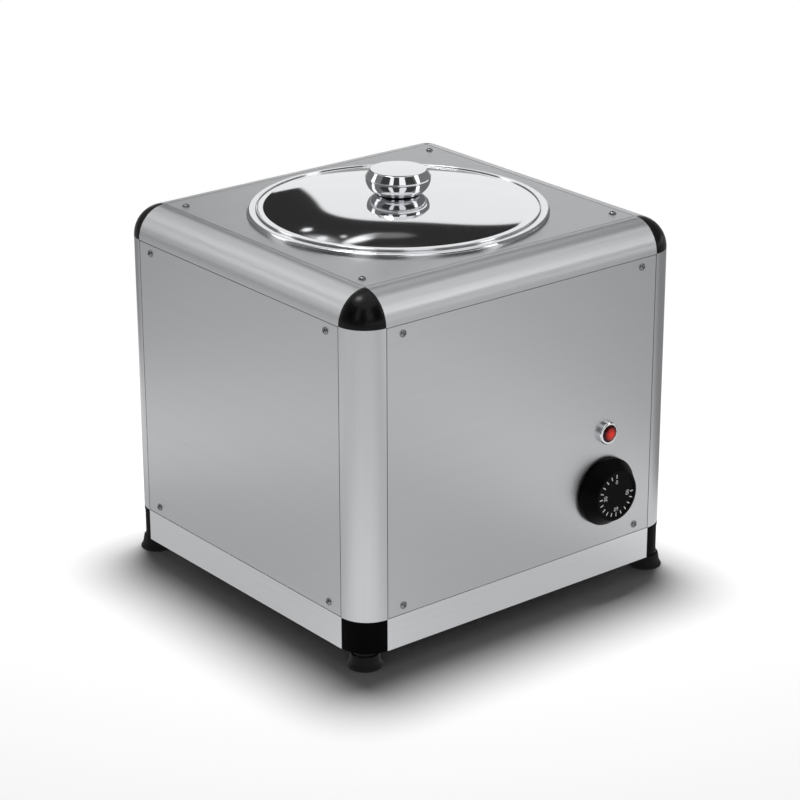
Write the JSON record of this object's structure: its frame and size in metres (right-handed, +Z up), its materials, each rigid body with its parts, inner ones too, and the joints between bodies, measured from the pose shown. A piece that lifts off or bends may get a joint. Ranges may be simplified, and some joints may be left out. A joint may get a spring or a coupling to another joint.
{
  "type": "chocolate melting tank",
  "caption": "Square countertop chocolate melting tank: aluminium corner-profile cabinet on levelling feet, with a lift-out round pot, domed lid, thermostat dial and pilot lamp.",
  "frame": {"origin": "on the floor, under the middle of the machine's box", "axes": "+Z up, -Y towards the front that carries the dial, +X to the right seen from the front"},
  "size_m": [0.324, 0.339, 0.3348],
  "materials": {
    "anodised_profile": "satin anodised extrusion",
    "plinth_aluminium": "satin anodised extrusion",
    "satin_panel": "satin sheet",
    "galvanised_sheet": "plain galvanised sheet",
    "black_moulding": "smooth semi-gloss moulding",
    "black_nylon": "moulded",
    "foot_rubber": "moulded",
    "zinc_steel": "zinc plated",
    "screw_steel": "bright stainless",
    "pot_steel": "satin stainless",
    "lid_mirror": "mirror-polished stainless",
    "knob_chrome": "chrome plated",
    "well_aluminium": "spun, plain",
    "heater_silicone": "silicone sheet",
    "mineral_wool": "fibrous",
    "phenolic": "moulded",
    "sensor_copper": "drawn copper",
    "dial_black": "moulded",
    "lamp_chrome": "chrome plated",
    "lamp_red": "clear red moulding",
    "gland_nylon": "moulded",
    "seal_rubber": "moulded",
    "terminal_nylon": "moulded",
    "wire_pvc": "extruded"
  },
  "bodies": {
    "cabinet": {"post_front_left": "anodised_profile", "corner_cap_front_left": "black_moulding", "foot_socket_front_left": "black_moulding", "post_front_right": "anodised_profile", "corner_cap_front_right": "black_moulding", "foot_socket_front_right": "black_moulding", "post_rear_left": "anodised_profile", "corner_cap_rear_left": "black_moulding", "foot_socket_rear_left": "black_moulding", "post_rear_right": "anodised_profile", "corner_cap_rear_right": "black_moulding", "foot_socket_rear_right": "black_moulding", "top_rail_front": "anodised_profile", "plinth_front": "plinth_aluminium", "front_panel": "satin_panel", "top_rail_rear": "anodised_profile", "plinth_rear": "plinth_aluminium", "rear_panel": "satin_panel", "top_rail_left": "anodised_profile", "plinth_left": "plinth_aluminium", "left_panel": "satin_panel", "top_rail_right": "anodised_profile", "plinth_right": "plinth_aluminium", "right_panel": "satin_panel", "top_panel": "satin_panel", "base_panel": "galvanised_sheet", "foot_nuts": "zinc_steel", "panel_screws": "screw_steel", "thermostat_screws": "screw_steel", "lamp_nut": "zinc_steel", "well": "well_aluminium", "heater_band": "heater_silicone", "insulation_jacket": "mineral_wool", "insulation_base": "mineral_wool", "thermal_cutout": "phenolic", "thermostat": "phenolic", "sensor_bulb": "sensor_copper", "lamp_bezel": "lamp_chrome", "lamp_lens": "lamp_red", "cable_gland": "gland_nylon", "gland_dome_nut": "gland_nylon", "gland_locknut": "gland_nylon", "gland_seal": "seal_rubber", "terminal_block": "terminal_nylon", "wiring": "wire_pvc"},
    "pot": {"pot": "pot_steel"},
    "lid": {"lid": "lid_mirror", "lid_knob": "knob_chrome", "lid_knob_screw": "screw_steel"},
    "dial": {"dial_knob": "dial_black", "thermostat_spindle": "screw_steel"},
    "foot_pad_body_front_left": {"foot_pad_front_left": "foot_rubber"},
    "foot_screw_body_front_left": {"foot_screw_front_left": "black_nylon"},
    "foot_pad_body_front_right": {"foot_pad_front_right": "foot_rubber"},
    "foot_screw_body_front_right": {"foot_screw_front_right": "black_nylon"},
    "foot_pad_body_rear_left": {"foot_pad_rear_left": "foot_rubber"},
    "foot_screw_body_rear_left": {"foot_screw_rear_left": "black_nylon"},
    "foot_pad_body_rear_right": {"foot_pad_rear_right": "foot_rubber"},
    "foot_screw_body_rear_right": {"foot_screw_rear_right": "black_nylon"}
  },
  "joints": [
    {"name": "pot_lift", "type": "slide", "parent": "cabinet", "child": "pot", "axis": [0, 0, 1], "range_m": [0, 0.22]},
    {"name": "lid_lift", "type": "slide", "parent": "pot", "child": "lid", "axis": [0, 0, 1], "range_m": [0, 0.12]},
    {"name": "dial_turn", "type": "hinge", "parent": "cabinet", "child": "dial", "pos_m": [0.086, -0.155, 0.0865], "axis": [0, 1, 0], "range_deg": [0, 270]},
    {"name": "foot_travel_front_left", "type": "slide", "parent": "cabinet", "child": "foot_pad_body_front_left", "axis": [0, 0, -1], "range_m": [0, 0.01]},
    {"name": "foot_turn_front_left", "type": "hinge", "parent": "foot_pad_body_front_left", "child": "foot_screw_body_front_left", "pos_m": [-0.146, -0.141, 0.012], "axis": [0, 0, -1], "range_deg": [0, 2882]},
    {"name": "foot_travel_front_right", "type": "slide", "parent": "cabinet", "child": "foot_pad_body_front_right", "axis": [0, 0, -1], "range_m": [0, 0.01]},
    {"name": "foot_turn_front_right", "type": "hinge", "parent": "foot_pad_body_front_right", "child": "foot_screw_body_front_right", "pos_m": [0.146, -0.141, 0.012], "axis": [0, 0, -1], "range_deg": [0, 2882]},
    {"name": "foot_travel_rear_left", "type": "slide", "parent": "cabinet", "child": "foot_pad_body_rear_left", "axis": [0, 0, -1], "range_m": [0, 0.01]},
    {"name": "foot_turn_rear_left", "type": "hinge", "parent": "foot_pad_body_rear_left", "child": "foot_screw_body_rear_left", "pos_m": [-0.146, 0.141, 0.012], "axis": [0, 0, -1], "range_deg": [0, 2882]},
    {"name": "foot_travel_rear_right", "type": "slide", "parent": "cabinet", "child": "foot_pad_body_rear_right", "axis": [0, 0, -1], "range_m": [0, 0.01]},
    {"name": "foot_turn_rear_right", "type": "hinge", "parent": "foot_pad_body_rear_right", "child": "foot_screw_body_rear_right", "pos_m": [0.146, 0.141, 0.012], "axis": [0, 0, -1], "range_deg": [0, 2882]}
  ],
  "couplings": [
    {"joint": "foot_turn_front_left", "follows": "foot_travel_front_left", "rad_per_m": 5026.5},
    {"joint": "foot_turn_front_right", "follows": "foot_travel_front_right", "rad_per_m": 5026.5},
    {"joint": "foot_turn_rear_left", "follows": "foot_travel_rear_left", "rad_per_m": 5026.5},
    {"joint": "foot_turn_rear_right", "follows": "foot_travel_rear_right", "rad_per_m": 5026.5}
  ]
}
